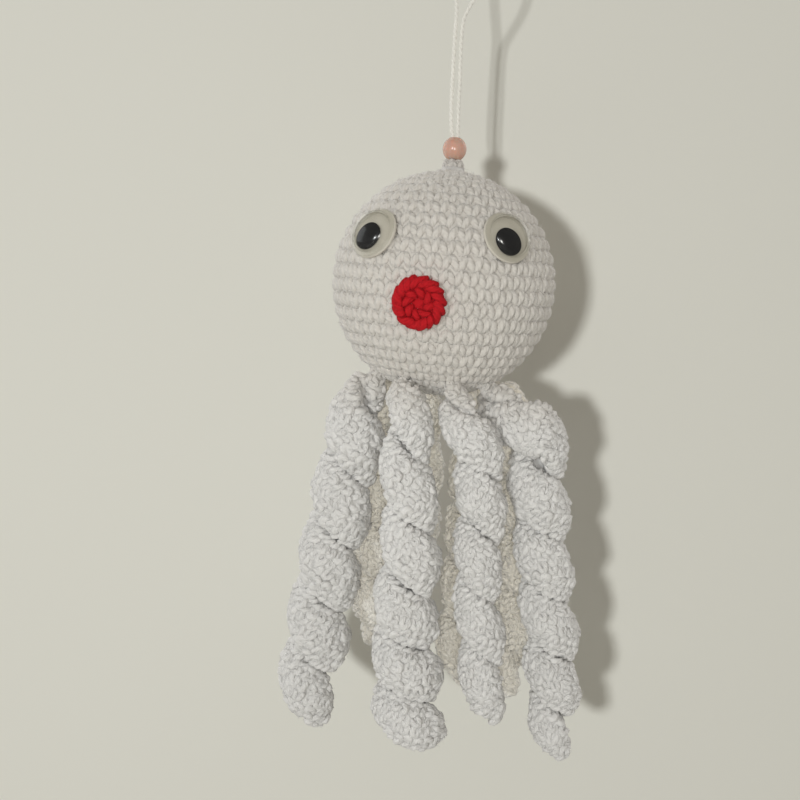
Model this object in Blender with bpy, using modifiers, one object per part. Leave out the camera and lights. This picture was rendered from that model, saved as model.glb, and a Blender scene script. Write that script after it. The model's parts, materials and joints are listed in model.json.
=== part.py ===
"""A crochet octopus that hangs from a doubled cord.

Units are metres, +Z is up and the face looks along -Y. The origin is the hang point, under the
top of the cord's loop. A stuffed crochet ball is the head, with two loose-pupil eyes and a red
crochet nose. Eight corkscrew tentacles hang from a ring under it, and a bead rides on the cord.
"""

import math

import bmesh
import bpy
from mathutils import Vector

OBJECT_NAME = "crochet_octopus"

# Fits between neighbours
CLEARANCE = 0.0003
MERGE_DISTANCE = 1e-6  # points nearer than this are one point
ROUTE_SUBSTEPS = 24  # steps between two points of a route, from which even points are read
TUBE_RESOLUTION = 2

# Head: a crochet cover over a ball of stuffing
HEAD_DROP = 0.084  # from the hang point down to the head's centre
HEAD_RADIUS = 0.028
COVER_WALL = 0.0026
ROUNDS = 24  # rounds of stitches from the top to the bottom
COLUMNS = 32
ROUND_RELIEF = 0.0007  # how deep the groove between two rounds is
STITCH_RELIEF = 0.0004  # how much every second stitch of a round stands back
NECK_RISE = 0.0029  # the drawn-up fabric at the top of the head
NECK_RADIUS = 0.0021
NECK_FLARE = 0.0014
CLOSING_HOLE_RADIUS = 0.0018  # at the bottom, where the last round is drawn together
INNER_STEPS = 8
STUFFING_SIDES = 16
STUFFING_RINGS = 10
POCKET_SIDES = 12

# Hanging cord, with both ends in a knot inside the head
CORD_DIAMETER = 0.001
STRAND_SPACING = 0.0013  # between the two strands inside the bead
CORD_POINT_SPACING = 0.0026
BEAD_DIAMETER = 0.006
BEAD_SIDES = 16
BEAD_STEPS = 8
KNOT_RADIUS = 0.0021
KNOT_SIDES = 10
KNOT_RINGS = 6

# From the knot up the first strand, over the loop and down the second, in the plane of the face
CORD_ROUTE = [
    (-0.00065, 0, -0.0586),
    (-0.00065, 0, -0.0560),
    (-0.00065, 0, -0.0532),
    (-0.00065, 0, -0.0502),
    (-0.00068, 0, -0.0474),
    (-0.00125, 0, -0.0448),
    (-0.0017, 0, -0.0400),
    (-0.0020, 0, -0.0330),
    (-0.0022, 0, -0.0250),
    (-0.0024, 0, -0.0170),
    (-0.0034, 0, -0.0110),
    (-0.0040, 0, -0.0060),
    (-0.0028, 0, -0.0014),
    (0, 0, 0.0005),
    (0.0032, 0, -0.0010),
    (0.0048, 0, -0.0050),
    (0.0040, 0, -0.0100),
    (0.0015, 0, -0.0150),
    (-0.0004, 0, -0.0192),
    (-0.0006, 0, -0.0250),
    (-0.0002, 0, -0.0330),
    (0.0001, 0, -0.0400),
    (0.0004, 0, -0.0448),
    (0.00064, 0, -0.0474),
    (0.00065, 0, -0.0502),
    (0.00065, 0, -0.0532),
    (0.00065, 0, -0.0560),
    (0.00065, 0, -0.0586),
]

# Eyes: (name, degrees from the face's middle towards +X, degrees up, share of the room in its dome
# that the pupil has slid across, and up)
EYES = [
    ("left", -32.5, 21.5, -18 / 27, -20 / 27),
    ("right", 37.5, 24.0, -6 / 27, -26 / 27),
]
EYE_DIAMETER = 0.0122
EYE_BACKING_THICKNESS = 0.0005
DOME_DIAMETER = 0.0104
DOME_HEIGHT = 0.0034
DOME_WALL = 0.0004
DOME_STEPS = 5
DOME_FULLNESS = 0.8  # 1 is half an ellipse, and less is flatter on top
PUPIL_DIAMETER = 0.0067
PUPIL_THICKNESS = 0.0008
PUPIL_GAP = 0.0001  # between the pupil and the dome's foot when it has slid all the way
EYE_SIDES = 16

# Nose: a round crochet pad
NOSE_ACROSS = -3.5  # degrees from the face's middle towards +X
NOSE_UP = -8.5
NOSE_DIAMETER = 0.0122
NOSE_THICKNESS = 0.0034
NOSE_EDGE = 0.0014
NOSE_MIDDLE = 0.25  # the raised middle, the bottom of the groove and the rim round it
NOSE_GROOVE = 0.4  # are at these shares of the nose's radius
NOSE_RIM = 0.55
NOSE_HOLLOW_SHARE = 0.5  # halfway out, the underside has dropped by this share of its dip
NOSE_HOLLOW_DEPTH = 0.2
NOSE_SIDES = 20

# Tentacles: strips of stitches that curl into left-handed corkscrews
ROOT_RING = 0.015  # from the head's axis to where a tentacle is sewn on
ROOT_STUB = 0.003  # a tentacle's first stretch, straight out of the head
ROOT_RADIUS = 0.002
WAY_SPACING = 0.001
CURL_LENGTH = 0.012  # over which the strip takes up its curl
TIP_LENGTH = 0.005  # over which the last curl rounds off
TIP_CURL = 0.6  # the shares of its curl, depth and width that the strip ends with
TIP_DEPTH = 0.5
TIP_WIDTH = 0.6
DEPTH_SHARE = 0.47  # the strip's half depth, as a share of the corkscrew's radius
WIDTH_SHARE = 0.43  # the strip's half width, as a share of the corkscrew's pitch
STEPS_PER_TURN = 7
STRIP_SIDES = 8
RIB_RELIEF = 0.04  # a share of the strip's section

# (degrees round from the face's middle towards +X, diameter at the top and at the end, pitch at
# the top and at the end, turns before the first curl faces front, the way down from the root)
TENTACLES = [
    (
        -62, (0.0166, 0.0190), (0.0180, 0.0168), 0.92,
        [(-0.0049, -0.001, -0.0155), (-0.0075, -0.001, -0.0342), (-0.0113, -0.001, -0.0669),
         (-0.0126, -0.001, -0.0947)],
    ),
    (
        -22, (0.0124, 0.0202), (0.0190, 0.0126), 2.42,
        [(0.0012, -0.0026, -0.0094), (0.0028, -0.0031, -0.0219), (0.0052, -0.0031, -0.0413),
         (0.0050, -0.0021, -0.0603), (0.0098, -0.0016, -0.0934)],
    ),
    (
        24, (0.0146, 0.0134), (0.0140, 0.0166), 1.0,
        [(0.0064, -0.0009, -0.0136), (0.0094, -0.0011, -0.0279), (0.0104, -0.0011, -0.0484),
         (0.0143, -0.0009, -0.0744), (0.0153, -0.0007, -0.0842)],
    ),
    (
        65, (0.0164, 0.0146), (0.0184, 0.0134), 0.88,
        [(0.0125, -0.0005, -0.0104), (0.0156, 0.0001, -0.0264), (0.0193, 0.0001, -0.0464),
         (0.0233, -0.0005, -0.0684), (0.0270, -0.0015, -0.0939)],
    ),
    (
        112, (0.0138, 0.0132), (0.0160, 0.0150), 0.40,
        [(0.0070, 0.0020, -0.0130), (0.0116, 0.0019, -0.0340), (0.0143, 0.0004, -0.0864)],
    ),
    (
        157, (0.0132, 0.0130), (0.0156, 0.0150), 0.15,
        [(0.0030, 0.0016, -0.0140), (0.0050, 0.0004, -0.0364), (0.0054, -0.0014, -0.0904)],
    ),
    (
        -157, (0.0130, 0.0126), (0.0150, 0.0156), 0.70,
        [(0.0012, 0.0028, -0.0140), (0.0030, 0.0028, -0.0364), (0.0029, 0.0018, -0.0844)],
    ),
    (
        -112, (0.0130, 0.0126), (0.0156, 0.0150), 0.30,
        [(-0.0030, 0.0006, -0.0140), (-0.0010, 0.0010, -0.0364), (0.0012, 0.0014, -0.0800)],
    ),
]

# What follows from the sizes above
HEAD_CENTRE = Vector((0, 0, -HEAD_DROP))
INNER_RADIUS = HEAD_RADIUS - COVER_WALL
BORE_RADIUS = (STRAND_SPACING + CORD_DIAMETER) / 2 + CLEARANCE
NECK_TOP = HEAD_CENTRE.z + HEAD_RADIUS + NECK_RISE
BEAD_RADIUS = BEAD_DIAMETER / 2
BEAD_CENTRE = NECK_TOP + CLEARANCE + math.sqrt(BEAD_RADIUS**2 - BORE_RADIUS**2)
BORE_FOOT = HEAD_CENTRE.z + math.sqrt(INNER_RADIUS**2 - BORE_RADIUS**2)
KNOT_CENTRE = BORE_FOOT - CLEARANCE - KNOT_RADIUS


def start_scene():
    """Clears the scene and returns the collections for the parts and for the cutters."""
    for old in list(bpy.data.objects):
        bpy.data.objects.remove(old, do_unlink=True)
    parts = bpy.data.collections.new(OBJECT_NAME)
    cutters = bpy.data.collections.new("cutters")
    for group in (parts, cutters):
        bpy.context.scene.collection.children.link(group)
    return parts, cutters


def material(name, colour, roughness, metallic=0.0, alpha=1.0):
    made = bpy.data.materials.new(name)
    made.use_nodes = True
    shader = made.node_tree.nodes["Principled BSDF"]
    shader.inputs["Base Color"].default_value = (*colour, 1)
    shader.inputs["Roughness"].default_value = roughness
    shader.inputs["Metallic"].default_value = metallic
    shader.inputs["Alpha"].default_value = alpha
    made.diffuse_color = (*colour, alpha)
    return made


def add_object(name, data, group, finish):
    obj = bpy.data.objects.new(name, data)
    group.objects.link(obj)
    if finish:
        data.materials.append(finish)
    return obj


def add_bmesh(name, shape, group, finish):
    mesh = bpy.data.meshes.new(name)
    shape.to_mesh(mesh)
    shape.free()
    mesh.shade_smooth()
    return add_object(name, mesh, group, finish)


def add_cutter(name, shape, cutters):
    cutter = add_bmesh(name, shape, cutters, None)
    cutter.hide_render = True
    cutter.display_type = "WIRE"
    return cutter


def cut(obj, cutter):
    """Takes the cutter's shape out of the object."""
    step = obj.modifiers.new("cut by " + cutter.name, "BOOLEAN")
    step.operation = "DIFFERENCE"
    step.solver = "EXACT"
    step.object = cutter


def ball(radius, columns, rings, centre):
    shape = bmesh.new()
    bmesh.ops.create_uvsphere(shape, u_segments=columns, v_segments=rings, radius=radius)
    bmesh.ops.translate(shape, vec=centre, verts=shape.verts)
    return shape


def upright_rod(radius, bottom, top, sides):
    shape = bmesh.new()
    bmesh.ops.create_cone(
        shape, cap_ends=True, segments=sides, radius1=radius, radius2=radius, depth=top - bottom
    )
    bmesh.ops.translate(shape, vec=(0, 0, (top + bottom) / 2), verts=shape.verts)
    return shape


def turned(name, profile, steps, group, finish, closed=False):
    """A solid turned round Z from (radius, height) points that run down its outer side."""
    mesh = bpy.data.meshes.new(name)
    count = len(profile)
    edges = [(i, i + 1) for i in range(count - 1)]
    if closed:
        edges.append((count - 1, 0))
    mesh.from_pydata([(radius, 0, height) for radius, height in profile], edges, [])
    obj = add_object(name, mesh, group, finish)
    screw = obj.modifiers.new("turn", "SCREW")
    screw.steps = steps
    screw.render_steps = steps
    screw.use_merge_vertices = not closed
    screw.merge_threshold = MERGE_DISTANCE
    screw.use_smooth_shade = True
    return obj


def arc(centre, radius, start, end, count):
    """Points of an arc, as (radius from the axis, height), with angles in degrees up from +X."""
    points = []
    for step in range(count + 1):
        angle = math.radians(start + (end - start) * step / count)
        points.append((centre[0] + radius * math.cos(angle), centre[1] + radius * math.sin(angle)))
    return points


def head_direction(across, up):
    """The unit vector from the head's centre, for degrees towards +X and degrees up."""
    across, up = math.radians(across), math.radians(up)
    return Vector((
        math.sin(across) * math.cos(up),
        -math.cos(across) * math.cos(up),
        math.sin(up),
    ))


def seat_on_head(obj, direction, lift=0.0, slide_across=0.0, slide_up=0.0):
    """Stands a part that was made along +Z on the head's surface, with its +Y as near up as it goes."""
    up = (Vector((0, 0, 1)) - direction * direction.z).normalized()
    side = up.cross(direction)
    seat = HEAD_CENTRE + direction * (HEAD_RADIUS + CLEARANCE + lift)
    turn = obj.matrix_world.copy()
    for row in range(3):
        turn[row][0], turn[row][1], turn[row][2] = side[row], up[row], direction[row]
        turn[row][3] = seat[row] + side[row] * slide_across + up[row] * slide_up
    obj.matrix_world = turn


def smooth_route(points, spacing):
    """Points at an even spacing on the smooth curve through a route's own points."""
    knots = [Vector(p) for p in points]
    knots = [knots[0] * 2 - knots[1], *knots, knots[-1] * 2 - knots[-2]]
    fine = []
    for a, b, c, d in zip(knots, knots[1:], knots[2:], knots[3:]):
        for step in range(ROUTE_SUBSTEPS):
            t = step / ROUTE_SUBSTEPS
            fine.append(
                0.5 * (2 * b + (c - a) * t + (2 * a - 5 * b + 4 * c - d) * t**2
                       + (3 * b - a - 3 * c + d) * t**3)
            )
    fine.append(knots[-2])
    lengths = [0.0]
    for first, second in zip(fine, fine[1:]):
        lengths.append(lengths[-1] + (second - first).length)
    count = max(2, round(lengths[-1] / spacing))
    route, at = [], 0
    for step in range(count + 1):
        target = lengths[-1] * step / count
        while at < len(fine) - 2 and lengths[at + 1] < target:
            at += 1
        share = (target - lengths[at]) / (lengths[at + 1] - lengths[at])
        route.append(fine[at].lerp(fine[at + 1], min(share, 1)))
    return route


def tube(name, route, radii, group, finish):
    """A round-sided tube on a route, with its own radius at each point."""
    curve = bpy.data.curves.new(name, "CURVE")
    curve.dimensions = "3D"
    curve.bevel_depth = 1
    curve.bevel_resolution = TUBE_RESOLUTION
    curve.use_fill_caps = True
    line = curve.splines.new("POLY")
    line.points.add(len(route) - 1)
    for point, place, radius in zip(line.points, route, radii):
        point.co = (*place, 1)
        point.radius = radius
    return add_object(name, curve, group, finish)


def cover_profile():
    """The cover's section from the neck down its outer side and back up inside."""
    first = math.asin(NECK_RADIUS / HEAD_RADIUS)
    last = math.pi - math.asin(CLOSING_HOLE_RADIUS / HEAD_RADIUS)
    outer = [(BORE_RADIUS, NECK_TOP)]
    for ring in range(2 * ROUNDS + 1):
        polar = first + (last - first) * ring / (2 * ROUNDS)
        radius = HEAD_RADIUS - (ROUND_RELIEF if ring % 2 == 0 and ring > 0 else 0)
        out = radius * math.sin(polar)
        height = radius * math.cos(polar)
        if ring < ROUNDS:
            height += NECK_RISE * math.exp(-(((out - NECK_RADIUS) / NECK_FLARE) ** 2))
        if ring == 0:
            height = HEAD_RADIUS + NECK_RISE
        if ring == 2 * ROUNDS:
            out = CLOSING_HOLE_RADIUS
        outer.append((out, HEAD_CENTRE.z + height))
    low = -math.degrees(math.acos(CLOSING_HOLE_RADIUS / INNER_RADIUS))
    high = math.degrees(math.acos(BORE_RADIUS / INNER_RADIUS))
    return outer + arc((0, HEAD_CENTRE.z), INNER_RADIUS, low, high, INNER_STEPS)


def make_head_cover(group, finish):
    """The crochet ball: rounds of stitches outside, a plain hollow inside, and a hole at each end."""
    shape = bmesh.new()
    section = [shape.verts.new((out, 0, height)) for out, height in cover_profile()]
    sides = [shape.edges.new(pair) for pair in zip(section, section[1:] + section[:1])]
    bmesh.ops.spin(
        shape, geom=section + sides, cent=(0, 0, 0), axis=(0, 0, 1), angle=2 * math.pi,
        steps=COLUMNS, use_merge=True,
    )
    bmesh.ops.remove_doubles(shape, verts=shape.verts, dist=MERGE_DISTANCE)
    for vertex in shape.verts:
        arm = vertex.co - HEAD_CENTRE
        is_ridge = abs(arm.length - HEAD_RADIUS) < ROUND_RELIEF / 4
        column = round(math.degrees(math.atan2(arm.y, arm.x)) * COLUMNS / 360)
        polar = math.degrees(math.acos(arm.z / arm.length))
        if is_ridge and (column + int(polar * ROUNDS / 180)) % 2:
            vertex.co -= arm.normalized() * STITCH_RELIEF
    bmesh.ops.recalc_face_normals(shape, faces=shape.faces)
    return add_bmesh("head_cover", shape, group, finish)


def make_stuffing(group, cutters, finish):
    """The ball of fibre, with a pocket at the top for the cord's knot."""
    # The flats of the hollow that it fills lie a little inside the hollow's radius.
    flats = math.cos(math.pi / COLUMNS) * math.cos(math.pi / 2 / INNER_STEPS)
    radius = INNER_RADIUS * flats - CLEARANCE
    fibre = ball(radius, STUFFING_SIDES, STUFFING_RINGS, HEAD_CENTRE)
    stuffing = add_bmesh("stuffing", fibre, group, finish)
    pocket = upright_rod(
        KNOT_RADIUS + CLEARANCE,
        KNOT_CENTRE - KNOT_RADIUS - CLEARANCE,
        HEAD_CENTRE.z + 2 * radius,
        POCKET_SIDES,
    )
    cut(stuffing, add_cutter("knot_pocket", pocket, cutters))


def make_bead(group, finish):
    """A round bead with a straight bore for the two strands."""
    edge = math.degrees(math.acos(BORE_RADIUS / BEAD_RADIUS))
    outside = arc((0, BEAD_CENTRE), BEAD_RADIUS, edge, -edge, BEAD_STEPS)
    return turned("bead", outside, BEAD_SIDES, group, finish, closed=True)


def make_cord(group, finish):
    """The doubled cord, one strand from the knot up, over the loop and down to the knot."""
    route = smooth_route(CORD_ROUTE, CORD_POINT_SPACING)
    return tube("hanging_cord", route, [CORD_DIAMETER / 2] * len(route), group, finish)


def make_knot(group, finish):
    """The knot that holds both ends of the cord under the head's top."""
    knot = ball(KNOT_RADIUS, KNOT_SIDES, KNOT_RINGS, (0, 0, KNOT_CENTRE))
    return add_bmesh("cord_knot", knot, group, finish)


def make_eye(side, across, up, slide_across, slide_up, group, finishes):
    """A glued eye: a flat backing, a loose pupil disc on it and a clear dome over both."""
    direction = head_direction(across, up)
    card, black, clear = finishes
    radius = EYE_DIAMETER / 2
    backing = turned(
        f"eye_backing_{side}",
        [(0, EYE_BACKING_THICKNESS), (radius, EYE_BACKING_THICKNESS), (radius, 0), (0, 0)],
        EYE_SIDES, group, card,
    )
    seat_on_head(backing, direction)
    floor = EYE_BACKING_THICKNESS + CLEARANCE
    pupil_radius = PUPIL_DIAMETER / 2
    edge = PUPIL_THICKNESS / 4
    pupil = turned(
        f"pupil_{side}",
        [
            (0, PUPIL_THICKNESS), (pupil_radius - edge, PUPIL_THICKNESS),
            (pupil_radius, PUPIL_THICKNESS - edge), (pupil_radius, 0), (0, 0),
        ],
        EYE_SIDES, group, black,
    )
    inner_radius = DOME_DIAMETER / 2 - DOME_WALL
    room = inner_radius - pupil_radius - PUPIL_GAP
    seat_on_head(pupil, direction, floor, slide_across * room, slide_up * room)
    inner_height = DOME_HEIGHT - DOME_WALL
    outer = [(0.0, DOME_HEIGHT)]
    inner = [(0.0, inner_height)]
    for step in range(1, DOME_STEPS + 1):
        angle = math.pi / 2 * (1 - step / DOME_STEPS)
        rise = inner_height * math.sin(angle) ** DOME_FULLNESS if step < DOME_STEPS else 0.0
        outer.append((DOME_DIAMETER / 2 * math.cos(angle), DOME_WALL + rise))
        inner.append((inner_radius * math.cos(angle), rise))
    rim = [(radius, DOME_WALL), (radius, 0.0)]
    dome = turned(f"eye_dome_{side}", outer + rim + inner[::-1], EYE_SIDES, group, clear)
    seat_on_head(dome, direction, floor)


def make_nose(group, finish):
    """A round pad with a soft edge, hollowed to the head's curve underneath."""
    radius = NOSE_DIAMETER / 2
    dip = HEAD_RADIUS - math.sqrt(HEAD_RADIUS**2 - (radius - NOSE_EDGE / 2) ** 2)
    groove = NOSE_THICKNESS - dip
    rim = NOSE_THICKNESS - dip / 2
    foot_edge = NOSE_EDGE / 2
    profile = [(0, rim), (radius * NOSE_MIDDLE, rim)]
    profile += [(radius * NOSE_GROOVE, groove), (radius * NOSE_RIM, rim)]
    profile += arc((radius - NOSE_EDGE, groove - NOSE_EDGE), NOSE_EDGE, 80, 0, 3)
    profile += arc((radius - foot_edge, foot_edge - dip), foot_edge, 0, -90, 2)
    profile += [(radius * NOSE_HOLLOW_SHARE, -dip * NOSE_HOLLOW_DEPTH), (0, 0)]
    nose = turned("nose", profile, NOSE_SIDES, group, finish)
    seat_on_head(nose, head_direction(NOSE_ACROSS, NOSE_UP))


def tentacle_line(azimuth, way):
    """The line that a tentacle curls round, from its root on the head down to its tip."""
    down = math.sqrt(HEAD_RADIUS**2 - ROOT_RING**2)
    angle = math.radians(azimuth)
    out = Vector((ROOT_RING * math.sin(angle), -ROOT_RING * math.cos(angle), -down)) / HEAD_RADIUS
    root = HEAD_CENTRE + out * (HEAD_RADIUS + CLEARANCE)
    stub = HEAD_CENTRE + out * (HEAD_RADIUS + CLEARANCE + ROOT_STUB)
    return smooth_route([root, stub, *(root + Vector(step) for step in way)], WAY_SPACING)


def blend(pair, share):
    return pair[0] + (pair[1] - pair[0]) * share


def strip_rings(line, diameters, pitches, lead):
    """Rings of points round a strip that curls to the left round a line, from root to tip."""
    gap = (line[1] - line[0]).length
    length = gap * (len(line) - 1) - pitches[1] * WIDTH_SHARE * TIP_WIDTH
    rings, along, turn = [], 0.0, -lead
    while along < length:
        share = along / length
        at = min(int(along / gap), len(line) - 2)
        centre = line[at].lerp(line[at + 1], along / gap - at)
        tangent = (line[at + 1] - line[at]).normalized()
        across = (Vector((1, 0, 0)) - tangent * tangent.x).normalized()
        front = tangent.cross(across)
        taken = min(1.0, along / CURL_LENGTH)
        taken *= taken * (3 - 2 * taken)
        radius, pitch = blend(diameters, share) / 2, blend(pitches, share)
        left = min(1.0, (length - along) / TIP_LENGTH)
        end = math.sqrt(1 - (1 - left) ** 2)
        curl = radius * (1 - DEPTH_SHARE) * taken * blend((TIP_CURL, 1), end)
        angle = 2 * math.pi * turn
        swing = across * math.sin(angle) + front * math.cos(angle)
        onward = across * math.cos(angle) - front * math.sin(angle)
        heading = tangent + onward * (2 * math.pi * curl / pitch)
        # At the root the strip lies across its line, and once curled its width is along the line.
        wide = (heading.cross(swing).normalized() * (1 - taken) + tangent * taken).normalized()
        rib = 1 + RIB_RELIEF * (1 if len(rings) % 2 else -1)
        depth = rib * blend((TIP_DEPTH, 1), end) * blend((ROOT_RADIUS, radius * DEPTH_SHARE), taken)
        width = rib * blend((TIP_WIDTH, 1), end) * blend((ROOT_RADIUS, pitch * WIDTH_SHARE), taken)
        ring = []
        for side in range(STRIP_SIDES):
            around = 2 * math.pi * side / STRIP_SIDES
            ring.append(
                centre + swing * (curl + depth * math.cos(around)) + wide * width * math.sin(around)
            )
        rings.append(ring)
        step = 1 / STEPS_PER_TURN
        along += pitch * step
        turn += step
    return rings


def make_tentacle(name, azimuth, diameters, pitches, lead, way, group, finish):
    """One crocheted strip, as a ribbed skin over the rings round its corkscrew."""
    rings = strip_rings(tentacle_line(azimuth, way), diameters, pitches, lead)
    shape = bmesh.new()
    loops = [[shape.verts.new(place) for place in ring] for ring in rings]
    for above, below in zip(loops, loops[1:]):
        for side in range(STRIP_SIDES):
            after = (side + 1) % STRIP_SIDES
            shape.faces.new((above[side], above[after], below[after], below[side]))
    shape.faces.new(loops[0])
    shape.faces.new(loops[-1])
    bmesh.ops.recalc_face_normals(shape, faces=shape.faces)
    return add_bmesh(name, shape, group, finish)


def main():
    parts, cutters = start_scene()
    yarn = material("white_yarn", (0.83, 0.82, 0.78), 0.9)
    red = material("red_yarn", (0.60, 0.02, 0.025), 0.9)
    fibre = material("stuffing_fibre", (0.86, 0.86, 0.84), 0.95)
    cotton = material("cord_cotton", (0.80, 0.80, 0.78), 0.8)
    pink = material("bead_pink", (0.74, 0.36, 0.28), 0.25)
    clear = material("clear_dome", (0.9, 0.9, 0.88), 0.06, alpha=0.35)
    card = material("eye_backing", (0.62, 0.60, 0.54), 0.6)
    black = material("pupil_black", (0.012, 0.012, 0.014), 0.35)
    make_head_cover(parts, yarn)
    make_stuffing(parts, cutters, fibre)
    make_cord(parts, cotton)
    make_knot(parts, cotton)
    make_bead(parts, pink)
    for side, across, up, slide_across, slide_up in EYES:
        make_eye(side, across, up, slide_across, slide_up, parts, (card, black, clear))
    make_nose(parts, red)
    for number, sizes in enumerate(TENTACLES, 1):
        make_tentacle(f"tentacle_{number}", *sizes, parts, yarn)


main()
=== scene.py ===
"""The looks of a crochet octopus that hangs from a doubled cord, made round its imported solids.

Units are metres, +Z is up and the face looks along -Y. Yarn is laid stitch by stitch over a skin of
fabric just inside each solid, and every piece lies where its solid lies.
"""

import json
import math
import random

import bmesh
import bpy
from mathutils import Matrix, Vector, noise

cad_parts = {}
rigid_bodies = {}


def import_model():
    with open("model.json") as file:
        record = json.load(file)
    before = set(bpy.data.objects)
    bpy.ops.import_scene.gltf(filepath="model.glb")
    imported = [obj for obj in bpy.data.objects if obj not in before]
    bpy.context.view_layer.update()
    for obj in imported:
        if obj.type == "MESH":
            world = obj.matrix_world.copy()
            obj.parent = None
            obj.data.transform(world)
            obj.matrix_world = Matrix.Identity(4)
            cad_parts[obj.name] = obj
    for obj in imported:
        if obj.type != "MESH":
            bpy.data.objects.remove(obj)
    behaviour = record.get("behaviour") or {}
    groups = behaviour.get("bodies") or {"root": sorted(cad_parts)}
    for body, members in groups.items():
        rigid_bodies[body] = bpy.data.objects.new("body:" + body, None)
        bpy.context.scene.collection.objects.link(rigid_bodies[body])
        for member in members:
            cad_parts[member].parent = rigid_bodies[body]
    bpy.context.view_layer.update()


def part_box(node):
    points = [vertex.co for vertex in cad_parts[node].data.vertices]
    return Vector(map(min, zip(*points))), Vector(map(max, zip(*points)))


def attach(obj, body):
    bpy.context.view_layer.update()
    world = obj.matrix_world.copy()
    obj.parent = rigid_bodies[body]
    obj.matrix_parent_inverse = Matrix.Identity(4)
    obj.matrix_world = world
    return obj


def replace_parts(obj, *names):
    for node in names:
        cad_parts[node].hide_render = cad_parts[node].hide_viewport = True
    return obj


# The photograph's view: the camera is level with the head, a little to its left hand
CAMERA_DISTANCE = 0.208
CAMERA_AZIMUTH = 6.4  # degrees round from the face's middle towards +X
CAMERA_YAW = 2.4  # degrees that it looks past the head's axis
CAMERA_PITCH = 8.39
CAMERA_ROLL = 4.5
CAMERA_LENS = 36
CAMERA_SENSOR = 36

# Head
HEAD_CENTRE = Vector((0, 0, -0.084))
HEAD_RADIUS = 0.028
HEAD_FOOT = HEAD_CENTRE.z - HEAD_RADIUS
HEAD_SHADE_REACH = 0.006  # above and below the foot, over which the head's painted shade comes in
ROUNDS = 24
TOP_ANGLE = 4.3  # degrees from the top where the rounds start, and from the bottom where they end
NECK_RISE = 0.0029
NECK_RADIUS = 0.0021
NECK_FLARE = 0.0010
NECK_ROWS = [0.0021, 0.0026]  # distances from the axis of the two rows on the neck
FABRIC_INSET = 0.0006  # the skin of fabric lies this far inside the solid's surface
COVER_SIDES = 64
COVER_RINGS = 48

# A stitch on the head: two legs of yarn that open upwards from the stitch below
STITCH_WIDTH = 0.00366
STITCH_HEIGHT = 0.0035
LEG_RADIUS = 0.00102
LEG_STEPS = 4
LEG_SIDES = 6
PLIES = 4
PLY_LENGTH = 0.0050  # along the yarn for one turn of a ply

# Loose fibres that stand off the yarn
FIBRE_LENGTH = 0.0011
FIBRE_RADIUS = 0.00004
HEAD_FIBRES = 230000  # for each square metre of yarn
TENTACLE_FIBRES = 112000
NOSE_FIBRES = 400000

# Hanging cord
CORD_DIAMETER = 0.001
CORD_STEP = 0.0003
ROUTE_SUBSTEPS = 24  # steps between two points of a route, from which even points are read
CORD_SIDES = 12
CORD_PLY_LENGTH = 0.0028
CORD_LOBE = 0.14
KNOT_STEPS = 96
KNOT_ROOM = 0.0034  # round the axis, where the stuffing makes way for the knot
CORD_ROUTE = [
    (-0.00065, 0, -0.0586),
    (-0.00065, 0, -0.0560),
    (-0.00065, 0, -0.0532),
    (-0.00065, 0, -0.0502),
    (-0.00068, 0, -0.0474),
    (-0.00125, 0, -0.0448),
    (-0.0017, 0, -0.0400),
    (-0.0020, 0, -0.0330),
    (-0.0022, 0, -0.0250),
    (-0.0024, 0, -0.0170),
    (-0.0034, 0, -0.0110),
    (-0.0040, 0, -0.0060),
    (-0.0028, 0, -0.0014),
    (0, 0, 0.0005),
    (0.0032, 0, -0.0010),
    (0.0048, 0, -0.0050),
    (0.0040, 0, -0.0100),
    (0.0015, 0, -0.0150),
    (-0.0004, 0, -0.0192),
    (-0.0006, 0, -0.0250),
    (-0.0002, 0, -0.0330),
    (0.0001, 0, -0.0400),
    (0.0004, 0, -0.0448),
    (0.00064, 0, -0.0474),
    (0.00065, 0, -0.0502),
    (0.00065, 0, -0.0532),
    (0.00065, 0, -0.0560),
    (0.00065, 0, -0.0586),
]

# Eyes and nose
DOME_DIAMETER = 0.0104
DOME_HEIGHT = 0.0034
DOME_WALL = 0.0004
DOME_FULLNESS = 0.8
EYE_DIAMETER = 0.0122
BACKING_THICKNESS = 0.0005
PUPIL_DIAMETER = 0.0067
PUPIL_THICKNESS = 0.0008
ROUND_SIDES = 64
NOSE_ACROSS = -3.5
NOSE_UP = -8.5

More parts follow.
